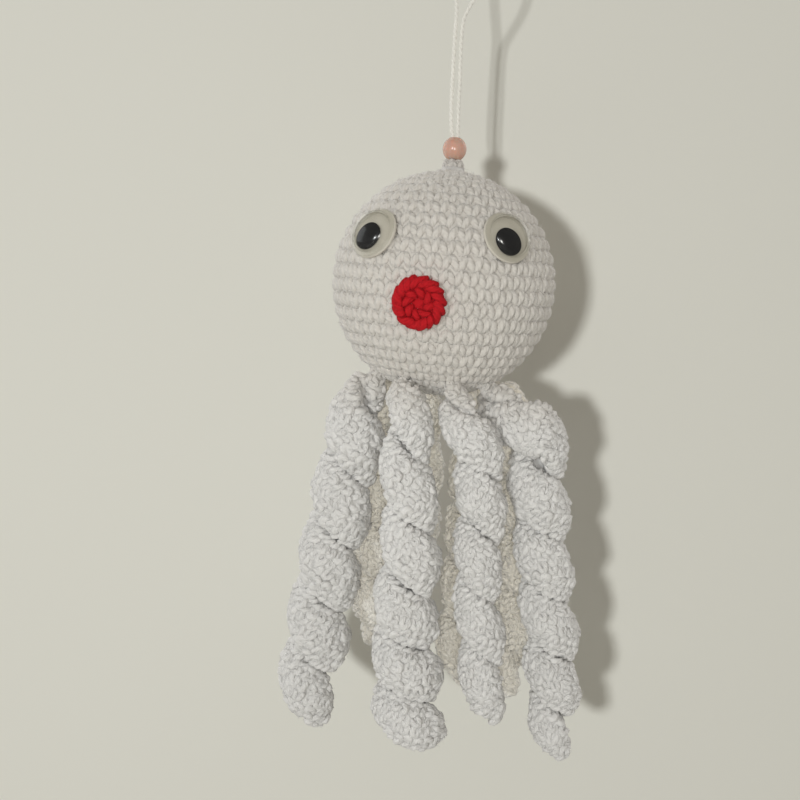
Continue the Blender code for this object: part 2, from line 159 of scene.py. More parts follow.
# Tentacles: strips of stitches that curl into left-handed corkscrews
ROOT_RING = 0.015
ROOT_STUB = 0.003
ROOT_RADIUS = 0.002
CLEARANCE = 0.0003
WAY_SPACING = 0.001
CURL_LENGTH = 0.012
TIP_LENGTH = 0.005
TIP_ROUNDING = 0.003
TIP_CURL = 0.25
TIP_DEPTH = 0.8
TIP_WIDTH = 0.6
DEPTH_SHARE = 0.47
WIDTH_SHARE = 0.43
SOFT_WIDTH_SHARE = 0.465  # the yarn of one turn rests on the next
STEPS_PER_TURN = 7
FINE_STEPS = 8
SKIN_SIDES = 16
SKIN_STRIDE = 2  # the skin takes every second section
ROWS_REACH = 118  # degrees round the section that the rows reach from the rim
TENTACLES = [
    (
        -62, (0.0166, 0.0190), (0.0180, 0.0168), 0.92,
        [(-0.0049, -0.001, -0.0155), (-0.0075, -0.001, -0.0342), (-0.0113, -0.001, -0.0669),
         (-0.0126, -0.001, -0.0947)],
    ),
    (
        -22, (0.0124, 0.0202), (0.0190, 0.0126), 2.42,
        [(0.0012, -0.0026, -0.0094), (0.0028, -0.0031, -0.0219), (0.0052, -0.0031, -0.0413),
         (0.0050, -0.0021, -0.0603), (0.0098, -0.0016, -0.0934)],
    ),
    (
        24, (0.0140, 0.0126), (0.0140, 0.0166), 1.0,
        [(0.0064, -0.0009, -0.0136), (0.0094, -0.0011, -0.0279), (0.0104, -0.0011, -0.0484),
         (0.0143, -0.0009, -0.0744), (0.0153, -0.0007, -0.0842)],
    ),
    (
        65, (0.0164, 0.0146), (0.0184, 0.0134), 0.88,
        [(0.0125, -0.0005, -0.0104), (0.0156, 0.0001, -0.0264), (0.0193, 0.0001, -0.0464),
         (0.0233, -0.0005, -0.0684), (0.0270, -0.0015, -0.0939)],
    ),
    (
        112, (0.0138, 0.0132), (0.0160, 0.0150), 0.40,
        [(0.0070, 0.0020, -0.0130), (0.0116, 0.0019, -0.0340), (0.0143, 0.0004, -0.0864)],
    ),
    (
        157, (0.0132, 0.0130), (0.0156, 0.0150), 0.15,
        [(0.0030, 0.0016, -0.0140), (0.0050, 0.0004, -0.0364), (0.0054, -0.0014, -0.0904)],
    ),
    (
        -157, (0.0130, 0.0126), (0.0150, 0.0156), 0.70,
        [(0.0012, 0.0028, -0.0140), (0.0030, 0.0028, -0.0364), (0.0029, 0.0018, -0.0844)],
    ),
    (
        -112, (0.0130, 0.0126), (0.0156, 0.0150), 0.30,
        [(-0.0030, 0.0006, -0.0140), (-0.0010, 0.0010, -0.0364), (0.0012, 0.0014, -0.0800)],
    ),
]
TENTACLE_STITCH = 0.0027
TENTACLE_YARN = 0.00088
TENTACLE_INSET = 0.0004
YARN_PAST = 0.0006  # how far the yarn stands out past the strip
LUMP_HEIGHT = 0.0010
LUMP_SPACING = 0.0042

# Light and backdrop
FILL_BEHIND = 0.06  # metres behind the camera
FILL_DISTANCE = CAMERA_DISTANCE + FILL_BEHIND
# Soft lamps: (name, degrees round and up, distance, size, level, colour, what it lights)
SOFTBOXES = [
    ("key_softbox_wall", -16, 1, 0.9, 0.08, 0.53, (0.98, 1, 1), "room"),
    ("key_softbox_octopus", -16, 1, 0.9, 0.08, 0.26, (0.98, 1, 1), "octopus"),
    ("window_softbox", -91, 14, 0.8, 0.5, 0.17, (0.95, 0.98, 1), "octopus"),
    ("fill_softbox", 0, 0, FILL_DISTANCE, 0.04, 0.32, (1, 0.98, 0.93), "octopus"),
    ("passed_softbox", 0, 0, FILL_DISTANCE, 0.04, 0.31, (1, 0.90, 0.66), "back_tentacles"),
    ("back_softbox_left", -138, 22, 0.9, 0.5, 0.38, (1, 0.98, 0.95), "octopus"),
    ("back_softbox_right", 138, 22, 0.9, 0.5, 0.38, (1, 0.98, 0.95), "octopus"),
]
AT_CAMERA = ("fill_softbox", "passed_softbox")  # these stand behind the camera and face as it does
BACK_ENDINGS = ("_5", "_6", "_7", "_8")  # of the names of the tentacles behind
SKY_LEVEL = 0.33
WALL_BEHIND = 0.0293
FLOOR_BELOW = -0.5


def blend(pair, share):
    return pair[0] + (pair[1] - pair[0]) * share


def head_direction(across, up):
    """The unit vector from the head's centre, for degrees towards +X and degrees up."""
    across, up = math.radians(across), math.radians(up)
    return Vector((
        math.sin(across) * math.cos(up),
        -math.cos(across) * math.cos(up),
        math.sin(up),
    ))


def smooth_route(points, spacing):
    """Points at an even spacing on the smooth curve through a route's own points."""
    knots = [Vector(p) for p in points]
    knots = [knots[0] * 2 - knots[1], *knots, knots[-1] * 2 - knots[-2]]
    fine = []
    for a, b, c, d in zip(knots, knots[1:], knots[2:], knots[3:]):
        for step in range(ROUTE_SUBSTEPS):
            t = step / ROUTE_SUBSTEPS
            fine.append(
                0.5 * (2 * b + (c - a) * t + (2 * a - 5 * b + 4 * c - d) * t**2
                       + (3 * b - a - 3 * c + d) * t**3)
            )
    fine.append(knots[-2])
    lengths = [0.0]
    for first, second in zip(fine, fine[1:]):
        lengths.append(lengths[-1] + (second - first).length)
    count = max(2, round(lengths[-1] / spacing))
    route, at = [], 0
    for step in range(count + 1):
        target = lengths[-1] * step / count
        while at < len(fine) - 2 and lengths[at + 1] < target:
            at += 1
        share = (target - lengths[at]) / (lengths[at + 1] - lengths[at])
        route.append(fine[at].lerp(fine[at + 1], min(share, 1)))
    return route


def add_piece(name, mesh, finish=None):
    piece = bpy.data.objects.new(name, mesh)
    bpy.context.scene.collection.objects.link(piece)
    if finish:
        mesh.materials.clear()
        mesh.materials.append(finish)
    return piece


def mesh_from(shape, name, sharp_angle=None):
    """Turns a bmesh into a smooth-shaded mesh, with edges over the given angle left sharp."""
    mesh = bpy.data.meshes.new(name)
    shape.to_mesh(mesh)
    shape.free()
    mesh.shade_smooth()
    if sharp_angle:
        mesh.set_sharp_from_angle(angle=math.radians(sharp_angle))
    return mesh


def feed(node, inputs):
    """Sets a node's inputs, each to a value or to the socket that feeds it."""
    for key, value in inputs.items():
        if isinstance(value, bpy.types.NodeSocket):
            node.id_data.links.new(value, node.inputs[key])
        else:
            node.inputs[key].default_value = value


def add_node(tree, kind, inputs=(), **settings):
    """Adds a node with its settings and its inputs."""
    made = tree.nodes.new(kind)
    for key, value in settings.items():
        setattr(made, key, value)
    feed(made, dict(inputs))
    return made


def calculate(tree, operation, *values, **settings):
    """The result of a math node on values and sockets."""
    return add_node(
        tree, "ShaderNodeMath", dict(enumerate(values)), operation=operation, **settings
    ).outputs[0]


def add_strand(shape, path, radii, sides, ply_length, plies=PLIES, lobe=0.0):
    """Adds a closed strand of yarn along a path. U in its UV map counts the plies across it."""
    layers = shape.loops.layers.uv
    uv = layers.get("UVMap") or layers.new("UVMap")
    rings, along, last = [], 0.0, path[0]
    side = (path[1] - path[0]).orthogonal().normalized()
    for at, (place, radius) in enumerate(zip(path, radii)):
        along += (place - last).length
        last = place
        tangent = (path[min(at + 1, len(path) - 1)] - path[max(at - 1, 0)]).normalized()
        side = (side - tangent * side.dot(tangent)).normalized()
        other = tangent.cross(side)
        ring = []
        for step in range(sides):
            turn = 2 * math.pi * step / sides
            phase = plies * turn + 2 * math.pi * along / ply_length * plies
            reach = radius * (1 + lobe * math.cos(phase))
            place_on_ring = place + (side * math.cos(turn) + other * math.sin(turn)) * reach
            ring.append(shape.verts.new(place_on_ring))
        rings.append((ring, along))
    for (upper, start), (lower, end) in zip(rings, rings[1:]):
        for step in range(sides):
            after = (step + 1) % sides
            face = shape.faces.new((upper[step], upper[after], lower[after], lower[step]))
            spots = ((step, start), (step + 1, start), (step + 1, end), (step, end))
            for loop, (column, length) in zip(face.loops, spots):
                loop[uv].uv = (plies * column / sides + length / ply_length * plies, column / sides)
    for ring, beyond in ((rings[0][0], path[0] - path[1]), (rings[-1][0], path[-1] - path[-2])):
        middle = sum((v.co for v in ring), Vector()) / sides
        reach = (ring[0].co - middle).length
        pole = shape.verts.new(middle + beyond.normalized() * reach * 0.6)
        for step in range(sides):
            pair = (ring[step], ring[(step + 1) % sides], pole)
            shape.faces.new(pair if ring is rings[-1][0] else pair[::-1])


def turned_mesh(name, profile, sides, sharp_angle=None):
    """A solid turned round Z from a closed run of (radius, height) points."""
    shape = bmesh.new()
    points = [shape.verts.new((radius, 0, height)) for radius, height in profile]
    edges = [shape.edges.new(pair) for pair in zip(points, points[1:] + points[:1])]
    bmesh.ops.spin(
        shape, geom=points + edges, cent=(0, 0, 0), axis=(0, 0, 1), angle=2 * math.pi,
        steps=sides, use_merge=True,
    )
    bmesh.ops.remove_doubles(shape, verts=shape.verts, dist=1e-6)
    loose = [edge for edge in shape.edges if not edge.link_faces]
    bmesh.ops.delete(shape, geom=loose, context="EDGES")
    bmesh.ops.recalc_face_normals(shape, faces=shape.faces)
    return mesh_from(shape, name, sharp_angle)


def arc(centre, radius, start, end, count):
    """Points of an arc, as (radius from the axis, height), with angles in degrees up from +X."""
    points = []
    for step in range(count + 1):
        angle = math.radians(start + (end - start) * step / count)
        points.append((centre[0] + radius * math.cos(angle), centre[1] + radius * math.sin(angle)))
    return points


def seat(direction, place):
    """The matrix that stands a part made along +Z at a place, with its +Y as near up as it goes."""
    up = (Vector((0, 0, 1)) - direction * direction.z).normalized()
    side = up.cross(direction)
    turn = Matrix((side, up, direction)).transposed().to_4x4()
    turn.translation = place
    return turn


# Finishes


def new_material(name):
    made = bpy.data.materials.new(name)
    made.use_nodes = True
    return made, made.node_tree, made.node_tree.nodes["Principled BSDF"]


def set_shader(shader, **values):
    """Sets or feeds the shader's own sockets, named with underscores for spaces."""
    feed(shader, {name.replace("_", " "): value for name, value in values.items()})


def object_noise(tree, scale, detail, **more):
    """Noise from 0 to 1 on Object coordinates."""
    place = add_node(tree, "ShaderNodeTexCoord").outputs["Object"]
    return add_node(
        tree, "ShaderNodeTexNoise", {"Vector": place, "Scale": scale, "Detail": detail, **more}
    ).outputs["Fac"]


def mix_colours(tree, share, first, second, **settings):
    return add_node(
        tree, "ShaderNodeMix", {0: share, 6: first, 7: second}, data_type="RGBA", **settings
    ).outputs[2]


def end_in_mix(tree, share, first, second, output="Material Output"):
    """Sends a mix of two shaders out."""
    chosen = add_node(
        tree, "ShaderNodeMixShader", {0: share, 1: first.outputs[0], 2: second.outputs[0]}
    )
    tree.links.new(chosen.outputs[0], tree.nodes[output].inputs["Surface"])


def yarn_material(name, light, dark, fuzz_scale=2600, sheen=0.4, ply_depth=0.00007, head=None):
    """Twisted yarn: plies from the UV map, with painted shade in the grooves between them, fibres from
    noise, and a tone of its own per stitch.

    head is what the colour is multiplied by at the height of the head, a painted shade that makes the
    head's yarn darker and warmer than the tentacles' same yarn.
    """
    made, tree, shader = new_material(name)
    uv = add_node(tree, "ShaderNodeUVMap", uv_map="UVMap")
    split = add_node(tree, "ShaderNodeSeparateXYZ", {"Vector": uv.outputs["UV"]})
    ply = calculate(tree, "COSINE", calculate(tree, "MULTIPLY", split.outputs["X"], 2 * math.pi))
    fibres = object_noise(tree, fuzz_scale, 4.0, Roughness=0.65)
    cloud = object_noise(tree, 260.0, 3.0)
    tone = add_node(tree, "ShaderNodeAttribute", attribute_name="tone").outputs["Fac"]
    # Painted shade: the plies' ridges are painted lighter and the grooves between them darker. Fibres,
    # clouds and each stitch's tone vary the colour at random.
    share = calculate(tree, "MULTIPLY_ADD", ply, 0.12, 0.0)
    for part, weight in ((fibres, 0.45), (cloud, 0.45), (tone, 0.22)):
        share = calculate(tree, "MULTIPLY_ADD", part, weight, share)
    colour = mix_colours(tree, share, (*dark, 1), (*light, 1))
    # Painted shade: above the head's foot the same yarn is multiplied darker and warmer than on the
    # tentacles.
    if head:
        place = add_node(tree, "ShaderNodeTexCoord").outputs["Object"]
        level = add_node(tree, "ShaderNodeSeparateXYZ", {"Vector": place}).outputs["Z"]
        low, high = HEAD_FOOT - HEAD_SHADE_REACH, HEAD_FOOT + HEAD_SHADE_REACH
        share = add_node(tree, "ShaderNodeMapRange", {0: level, 1: low, 2: high}).outputs[0]
        colour = mix_colours(tree, share, colour, (*head, 1), blend_type="MULTIPLY")
    bump = add_node(tree, "ShaderNodeBump", {
        "Height": calculate(tree, "MULTIPLY_ADD", fibres, 0.8, ply), "Strength": 0.8,
        "Distance": ply_depth,
    })
    set_shader(
        shader, Base_Color=colour, Normal=bump.outputs["Normal"], Roughness=0.88,
        Sheen_Weight=sheen, Sheen_Roughness=0.5, Specular_IOR_Level=0.25,
        Subsurface_Weight=0.3, Subsurface_Radius=(0.0012, 0.0012, 0.0012), Subsurface_Scale=1.0,
    )
    return made


def fibre_material():
    """Loose white fibre, for the stuffing."""
    made, tree, shader = new_material("stuffing_fibre")
    fibres = object_noise(tree, 900.0, 6.0, Distortion=1.5)
    bump = add_node(tree, "ShaderNodeBump", {"Height": fibres, "Strength": 0.7, "Distance": 0.0005})
    set_shader(
        shader, Base_Color=mix_colours(tree, fibres, (0.70, 0.70, 0.69, 1), (0.90, 0.90, 0.89, 1)),
        Normal=bump.outputs["Normal"], Roughness=0.95, Sheen_Weight=0.3,
    )
    return made


def bead_material():
    """Polished, slightly milky salmon pink with faint clouds in it."""
    made, tree, shader = new_material("bead_pink")
    cloud = object_noise(tree, 320.0, 2.0)
    set_shader(
        shader, Base_Color=mix_colours(tree, cloud, (0.66, 0.38, 0.30, 1), (0.80, 0.54, 0.44, 1)),
        Roughness=0.22, Subsurface_Weight=0.6, Subsurface_Radius=(0.003, 0.0015, 0.001),
        Subsurface_Scale=1.0, Transmission_Weight=0.25, IOR=1.5,
    )
    return made


def dome_material():
    """Thin clear plastic: seen straight through, with gloss on its outside and painted shade where its
    wall is seen edge-on.
    """
    made, tree, shader = new_material("clear_dome")
    tree.nodes.remove(shader)
    gloss = add_node(tree, "ShaderNodeBsdfGlossy", {"Color": (1, 1, 1, 1), "Roughness": 0.2})
    # Painted shade: what shows through the dome is darkened where its wall is seen edge-on, which
    # outlines the dome.
    facing = add_node(tree, "ShaderNodeLayerWeight", {"Blend": 0.3})
    edge_on_shade = calculate(tree, "POWER", facing.outputs["Facing"], 2.0)
    tint = mix_colours(tree, edge_on_shade, (0.985, 0.985, 0.975, 1), (0.40, 0.38, 0.33, 1))
    clear = add_node(tree, "ShaderNodeBsdfTransparent", {"Color": tint})
    side = add_node(tree, "ShaderNodeNewGeometry")
    outside = calculate(tree, "SUBTRACT", 1.0, side.outputs["Backfacing"])
    rim = add_node(tree, "ShaderNodeFresnel", {"IOR": 1.49})
    end_in_mix(tree, calculate(tree, "MULTIPLY", rim.outputs[0], outside), clear, gloss)
    return made


def backing_material():
    """Pale film behind the pupil, with a soft mottling."""
    made, tree, shader = new_material("eye_backing")
    cloud = object_noise(tree, 300.0, 2.0)
    colour = mix_colours(tree, cloud, (0.50, 0.475, 0.415, 1), (0.60, 0.57, 0.505, 1))
    set_shader(shader, Base_Color=colour, Roughness=0.5)
    return made


def pupil_material():
    """Smooth black, with fine scuffs from sliding about in the dome."""
    made, tree, shader = new_material("pupil_black")
    rough = calculate(tree, "MULTIPLY_ADD", object_noise(tree, 1200.0, 3.0), 0.1, 0.08)
    set_shader(
        shader, Roughness=rough, Base_Color=(0.008, 0.008, 0.010, 1), Specular_IOR_Level=0.03
    )
    return made


# Stitches


def mark_fuzzy(mesh):
    """Lets loose fibres grow on a mesh."""
    values = mesh.attributes.new("fuzzy", "FLOAT", "POINT")
    values.data.foreach_set("value", [1.0] * len(mesh.vertices))
    return mesh


def two_legged_stitch():
    """One stitch of the head seen from outside: two legs that part towards its top."""
    shape = bmesh.new()
    for hand in (-1, 1):
        path, radii = [], []
        for step in range(LEG_STEPS + 1):
            t = step / LEG_STEPS
            swell = math.sin(math.pi * t)
            path.append(Vector((
                hand * STITCH_WIDTH * (0.06 + 0.38 * t),
                STITCH_HEIGHT * (-0.45 + 0.87 * t),
                LEG_RADIUS * (-1.15 + 0.55 * swell + (0.12 if hand > 0 else 0.0)),
            )))
            radii.append(LEG_RADIUS * (0.84 + 0.16 * swell))
        add_strand(shape, path, radii, LEG_SIDES, PLY_LENGTH)
    return mark_fuzzy(mesh_from(shape, "two_legged_stitch"))


def looped_stitch():
    """One stitch of a tentacle: a loop of yarn that rises from its two feet."""
    shape = bmesh.new()
    path, radii = [], []
    for step in range(8):
        t = step / 7
        turn = math.pi * (1.12 - 1.24 * t)
        swell = math.sin(math.pi * t)
        path.append(Vector((
            TENTACLE_STITCH * 0.33 * math.cos(turn),
            TENTACLE_STITCH * (-0.28 + 0.62 * math.sin(turn)),
            TENTACLE_YARN * (-1.0 + 0.55 * swell),
        )))
        radii.append(TENTACLE_YARN * (0.8 + 0.2 * swell))
    add_strand(shape, path, radii, 5, PLY_LENGTH)
    return mark_fuzzy(mesh_from(shape, "looped_stitch"))


def fibre_shape():
    """One loose fibre, a thin three-sided spike that bends over."""
    shape = bmesh.new()
    rings = []
    for across, rise, radius in ((0.0, 0.0, 1.0), (0.16, 0.5, 0.8)):
        middle = Vector((across * FIBRE_LENGTH, 0, rise * FIBRE_LENGTH))
        rings.append([
            shape.verts.new(middle + Vector((
                math.cos(turn) * radius * FIBRE_RADIUS, math.sin(turn) * radius * FIBRE_RADIUS, 0
            )))
            for turn in (0, 2 * math.pi / 3, 4 * math.pi / 3)
        ])
    tip = shape.verts.new((0.55 * FIBRE_LENGTH, 0, 0.84 * FIBRE_LENGTH))
    base, bend = rings
    for side in range(3):
        after = (side + 1) % 3
        shape.faces.new((base[side], base[after], bend[after], bend[side]))
        shape.faces.new((bend[side], bend[after], tip))
    shape.faces.new(base[::-1])
    return mesh_from(shape, "loose_fibre")


def new_tree(name, sockets):
    tree = bpy.data.node_groups.new(name, "GeometryNodeTree")
    for label, kind in sockets:
        tree.interface.new_socket(label, in_out="INPUT", socket_type="NodeSocket" + kind)
    tree.interface.new_socket("Geometry", in_out="OUTPUT", socket_type="NodeSocketGeometry")
    return tree, add_node(tree, "NodeGroupInput").outputs


def end_tree(tree, *parts, finish):
    """Joins the parts, gives them their material and sends them out."""
    joined = add_node(tree, "GeometryNodeJoinGeometry")
    for part in parts:
        tree.links.new(part, joined.inputs[0])
    real = add_node(tree, "GeometryNodeRealizeInstances", {"Geometry": joined.outputs[0]})
    finished = add_node(
        tree, "GeometryNodeSetMaterial", {"Geometry": real.outputs[0], "Material": finish}
    )
    add_node(tree, "NodeGroupOutput", {"Geometry": finished.outputs[0]})
    return tree


def random_lean(tree, seated, low, high, seed):
    """A rotation turned further by random angles about its own axes."""
    lean = add_node(
        tree, "FunctionNodeRandomValue", {"Min": low, "Max": high, "Seed": seed},
        data_type="FLOAT_VECTOR",
    )
    turned = add_node(tree, "FunctionNodeEulerToRotation", {0: lean.outputs[0]})
    return add_node(
        tree, "FunctionNodeRotateRotation", {"Rotation": seated, "Rotate By": turned.outputs[0]},
        rotation_space="LOCAL",
    ).outputs[0]


def stitch_tree():
    """A node group that lays a stitch on each point of a mesh, over a skin of fabric."""
    tree, given = new_tree("stitches_on_points", [
        ("Geometry", "Geometry"), ("Stitch", "Object"), ("Fabric", "Object"),
        ("Size Spread", "Float"), ("Least Lean", "Vector"), ("Most Lean", "Vector"),
        ("Seed", "Int"), ("Yarn", "Material"),
    ])
    stitch = add_node(tree, "GeometryNodeObjectInfo", {"Object": given["Stitch"]})
    fabric = add_node(tree, "GeometryNodeObjectInfo", {"Object": given["Fabric"]})
    out, up, size = [
        add_node(tree, "GeometryNodeInputNamedAttribute", {"Name": name}, data_type=kind).outputs[0]
        for name, kind in (("out", "FLOAT_VECTOR"), ("up", "FLOAT_VECTOR"), ("size", "FLOAT"))
    ]
    seated = add_node(
        tree, "FunctionNodeAxesToRotation", {"Primary Axis": out, "Secondary Axis": up},
        primary_axis="Z", secondary_axis="Y",
    )
    rotation = random_lean(
        tree, seated.outputs[0], given["Least Lean"], given["Most Lean"], given["Seed"]
    )
    chance = add_node(
        tree, "FunctionNodeRandomValue", {"Seed": calculate(tree, "ADD", given["Seed"], 1.0)},
        data_type="FLOAT",
    )
    centred = calculate(tree, "SUBTRACT", chance.outputs[1], 0.5)
    spread = calculate(tree, "MULTIPLY_ADD", centred, given["Size Spread"], 1.0)
    placed = add_node(
        tree, "GeometryNodeInstanceOnPoints",
        {
            "Points": given["Geometry"], "Instance": stitch.outputs["Geometry"],
            "Rotation": rotation, "Scale": calculate(tree, "MULTIPLY", size, spread),
        },
    )
    toned = add_node(
        tree, "GeometryNodeStoreNamedAttribute",
        {"Geometry": placed.outputs[0], "Name": "tone", "Value": centred},
        data_type="FLOAT", domain="INSTANCE",
    )
    return end_tree(tree, toned.outputs[0], fabric.outputs["Geometry"], finish=given["Yarn"])


def fibre_tree():
    """A node group that grows loose fibres on the faces of a mesh that are marked fuzzy."""
    tree, given = new_tree("fibres_on_yarn", [
        ("Geometry", "Geometry"), ("Fibre", "Object"), ("Fibres Per Area", "Float"),
        ("Seed", "Int"), ("Yarn", "Material"),
    ])
    fibre = add_node(tree, "GeometryNodeObjectInfo", {"Object": given["Fibre"]})
    fuzzy = add_node(tree, "GeometryNodeInputNamedAttribute", {"Name": "fuzzy"}, data_type="FLOAT")
    density = calculate(tree, "MULTIPLY", fuzzy.outputs[0], given["Fibres Per Area"])
    spots = add_node(
        tree, "GeometryNodeDistributePointsOnFaces",
        {"Mesh": given["Geometry"], "Density": density, "Seed": given["Seed"]},
        distribute_method="RANDOM",
    )
    rotation = random_lean(
        tree, spots.outputs["Rotation"], (0.3, 0.0, -math.pi), (1.45, 0.0, math.pi), given["Seed"]
    )
    scale = add_node(
        tree, "FunctionNodeRandomValue", {"Min": 0.5, "Max": 1.5, "Seed": given["Seed"]},
        data_type="FLOAT",
    )
    placed = add_node(
        tree, "GeometryNodeInstanceOnPoints",
        {
            "Points": spots.outputs["Points"], "Instance": fibre.outputs["Geometry"],
            "Rotation": rotation, "Scale": scale.outputs[1],
        },
    )
    return end_tree(tree, placed.outputs[0], given["Geometry"], finish=given["Yarn"])


def add_tree(piece, tree, given):
    laid = piece.modifiers.new(tree.name, "NODES")
    laid.node_group = tree
    for item in tree.interface.items_tree:
        if item.in_out == "INPUT" and item.name in given:
            laid[item.identifier] = given[item.name]


def settle(piece, name):
    """Turns a piece with its modifiers into a plain mesh."""
    graph = bpy.context.evaluated_depsgraph_get()
    made = bpy.data.meshes.new_from_object(piece.evaluated_get(graph))
    made.name = name
    piece.modifiers.clear()
    piece.data = made


def stitched_piece(name, kit, places, stitch, fabric, spread, fibres, seed):
    """A piece of crochet: its fabric and a stitch at each (place, out, up, size)."""
    mesh = bpy.data.meshes.new(name)
    mesh.from_pydata([place for place, _, _, _ in places], [], [])
    for label, column in (("out", 1), ("up", 2)):
        values = mesh.attributes.new(label, "FLOAT_VECTOR", "POINT")
        values.data.foreach_set("vector", [part for row in places for part in row[column]])
    mesh.attributes.new("size", "FLOAT", "POINT").data.foreach_set("value", [row[3] for row in places])
    piece = add_piece(name, mesh)
    under = add_piece(name + "_fabric", fabric)
    size_spread, tilt, turn = spread
    most = Vector((math.radians(tilt), math.radians(tilt), math.radians(turn)))
    add_tree(piece, kit["stitches"], {
        "Stitch": kit[stitch], "Fabric": under, "Size Spread": size_spread, "Least Lean": -most,
        "Most Lean": most, "Seed": seed, "Yarn": kit["white"],
    })
    add_tree(piece, kit["fibres"], {
        "Fibre": kit["fibre"], "Fibres Per Area": fibres, "Seed": seed + 100, "Yarn": kit["white"],
    })
    settle(piece, name)
    bpy.data.objects.remove(under)
    return piece


# Pieces


def cover_point(polar, inset):
    """The cover's (radius from the axis, height above the head's centre) at an angle from its top."""
    out = (HEAD_RADIUS - inset) * math.sin(polar)
    height = (HEAD_RADIUS - inset) * math.cos(polar)
    if polar < math.pi / 2:
        height += NECK_RISE * math.exp(-(((max(out, NECK_RADIUS) - NECK_RADIUS) / NECK_FLARE) ** 2))
    return out, height


def cover_fabric(first, last):
    """The skin of fabric under the head's stitches, closed inside by a second skin."""
    outer = []
    for ring in range(COVER_RINGS + 1):
        out, height = cover_point(first + (last - first) * ring / COVER_RINGS, FABRIC_INSET)
        outer.append((out, HEAD_CENTRE.z + height))
    inner = [(out * 0.95, HEAD_CENTRE.z + (height - HEAD_CENTRE.z) * 0.95) for out, height in outer]
    inner[0] = (outer[0][0] * 0.8, inner[0][1])
    return turned_mesh("head_fabric", outer + inner[::-1], COVER_SIDES)


def make_head(kit):
    """The stuffed ball, worked in rounds from the neck down to the closing hole."""
    first, last = math.radians(TOP_ANGLE), math.radians(180 - TOP_ANGLE)
    chance = random.Random(7)
    places, drift = [], 0.0
    for row in range(-2, ROUNDS):
        polar = first + (last - first) * (2 * row + 1) / (2 * ROUNDS)
        if row < 0:
            polar = math.asin(NECK_ROWS[row] / HEAD_RADIUS)
        out, height = cover_point(polar, 0)
        below = cover_point(polar + 0.01, 0)
        rise = Vector((out - below[0], 0, height - below[1])).normalized()
        around = 2 * math.pi * out
        count = max(6, round(around / STITCH_WIDTH))
        size = around / count / STITCH_WIDTH
        drift += 0.5 + 0.12 * chance.random()
        for column in range(count):
            turn = 2 * math.pi * (column + drift) / count
            spin = Matrix.Rotation(turn, 3, "Z")
            place = spin @ Vector((out, 0, height)) + HEAD_CENTRE
            up = spin @ rise
            across = spin @ Vector((0, 1, 0))
            normal = across.cross(up) * -1
            if normal.dot(place - HEAD_CENTRE) < 0:
                normal.negate()
            sunk = 0.0003 if row < 0 else 0.0
            places.append((place - normal * sunk, normal, up, max(size, 0.5 if row < 0 else 0.6)))
    fabric = cover_fabric(first, last)
    head = stitched_piece(
        "crochet_head", kit, places, "head_stitch", fabric, (0.14, 4, 7), HEAD_FIBRES, 11
    )
    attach(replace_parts(head, "head_cover"), "root")


def tentacle_line(azimuth, way):
    """The line that a tentacle curls round, from its root on the head down to its tip."""
    down = math.sqrt(HEAD_RADIUS**2 - ROOT_RING**2)
    angle = math.radians(azimuth)
    out = Vector((ROOT_RING * math.sin(angle), -ROOT_RING * math.cos(angle), -down)) / HEAD_RADIUS
    root = HEAD_CENTRE + out * (HEAD_RADIUS + CLEARANCE)
    stub = HEAD_CENTRE + out * (HEAD_RADIUS + CLEARANCE + ROOT_STUB)
    return smooth_route([root, stub, *(root + Vector(step) for step in way)], WAY_SPACING)


def strip_section(line, along, turn, length, diameters, pitches):
    """The strip's section at a length along its line: its middle and its two half axes."""
    gap = (line[1] - line[0]).length
    share = along / length
    at = min(int(along / gap), len(line) - 2)
    centre = line[at].lerp(line[at + 1], along / gap - at)
    tangent = (line[at + 1] - line[at]).normalized()
    across = (Vector((1, 0, 0)) - tangent * tangent.x).normalized()
    front = tangent.cross(across)
    taken = min(1.0, along / CURL_LENGTH)
    taken *= taken * (3 - 2 * taken)
    radius, pitch = blend(diameters, share) / 2 - YARN_PAST, blend(pitches, share)
    left = min(1.0, (length - along) / TIP_LENGTH)
    end = math.sqrt(1 - (1 - left) ** 2)
    last = min(1.0, (length - along) / TIP_ROUNDING)
    shut = math.sqrt(max(0.02, 1 - (1 - last) ** 2))
    curl = radius * (1 - DEPTH_SHARE) * taken * blend((TIP_CURL, 1), end)
    angle = 2 * math.pi * turn
    swing = across * math.sin(angle) + front * math.cos(angle)
    onward = across * math.cos(angle) - front * math.sin(angle)
    heading = tangent + onward * (2 * math.pi * curl / pitch)
    wide = (heading.cross(swing).normalized() * (1 - taken) + tangent * taken).normalized()
    depth = shut * blend((TIP_DEPTH, 1), end) * blend((ROOT_RADIUS, radius * DEPTH_SHARE), taken)
    width = shut * blend((TIP_WIDTH, 1), end) * blend((ROOT_RADIUS, pitch * SOFT_WIDTH_SHARE), taken)
    return centre + swing * curl, swing * depth, wide * width


def strip_sections(line, diameters, pitches, lead):
    """Sections of the strip from root to tip."""
    gap = (line[1] - line[0]).length
    length = gap * (len(line) - 1) - pitches[1] * WIDTH_SHARE * TIP_WIDTH
    sections, along, turn = [], 0.0, -lead
    while along < length:
        step = blend(pitches, along / length) / STEPS_PER_TURN
        for part in range(FINE_STEPS):
            share = part / FINE_STEPS
            if along + step * share < length:
                sections.append(strip_section(
                    line, along + step * share, turn + share / STEPS_PER_TURN, length,
                    diameters, pitches,
                ))
        along += step
        turn += 1 / STEPS_PER_TURN
    return sections


def lump(place):
    """How far the strips swell out at a place."""
    return LUMP_HEIGHT * noise.noise(place / LUMP_SPACING)


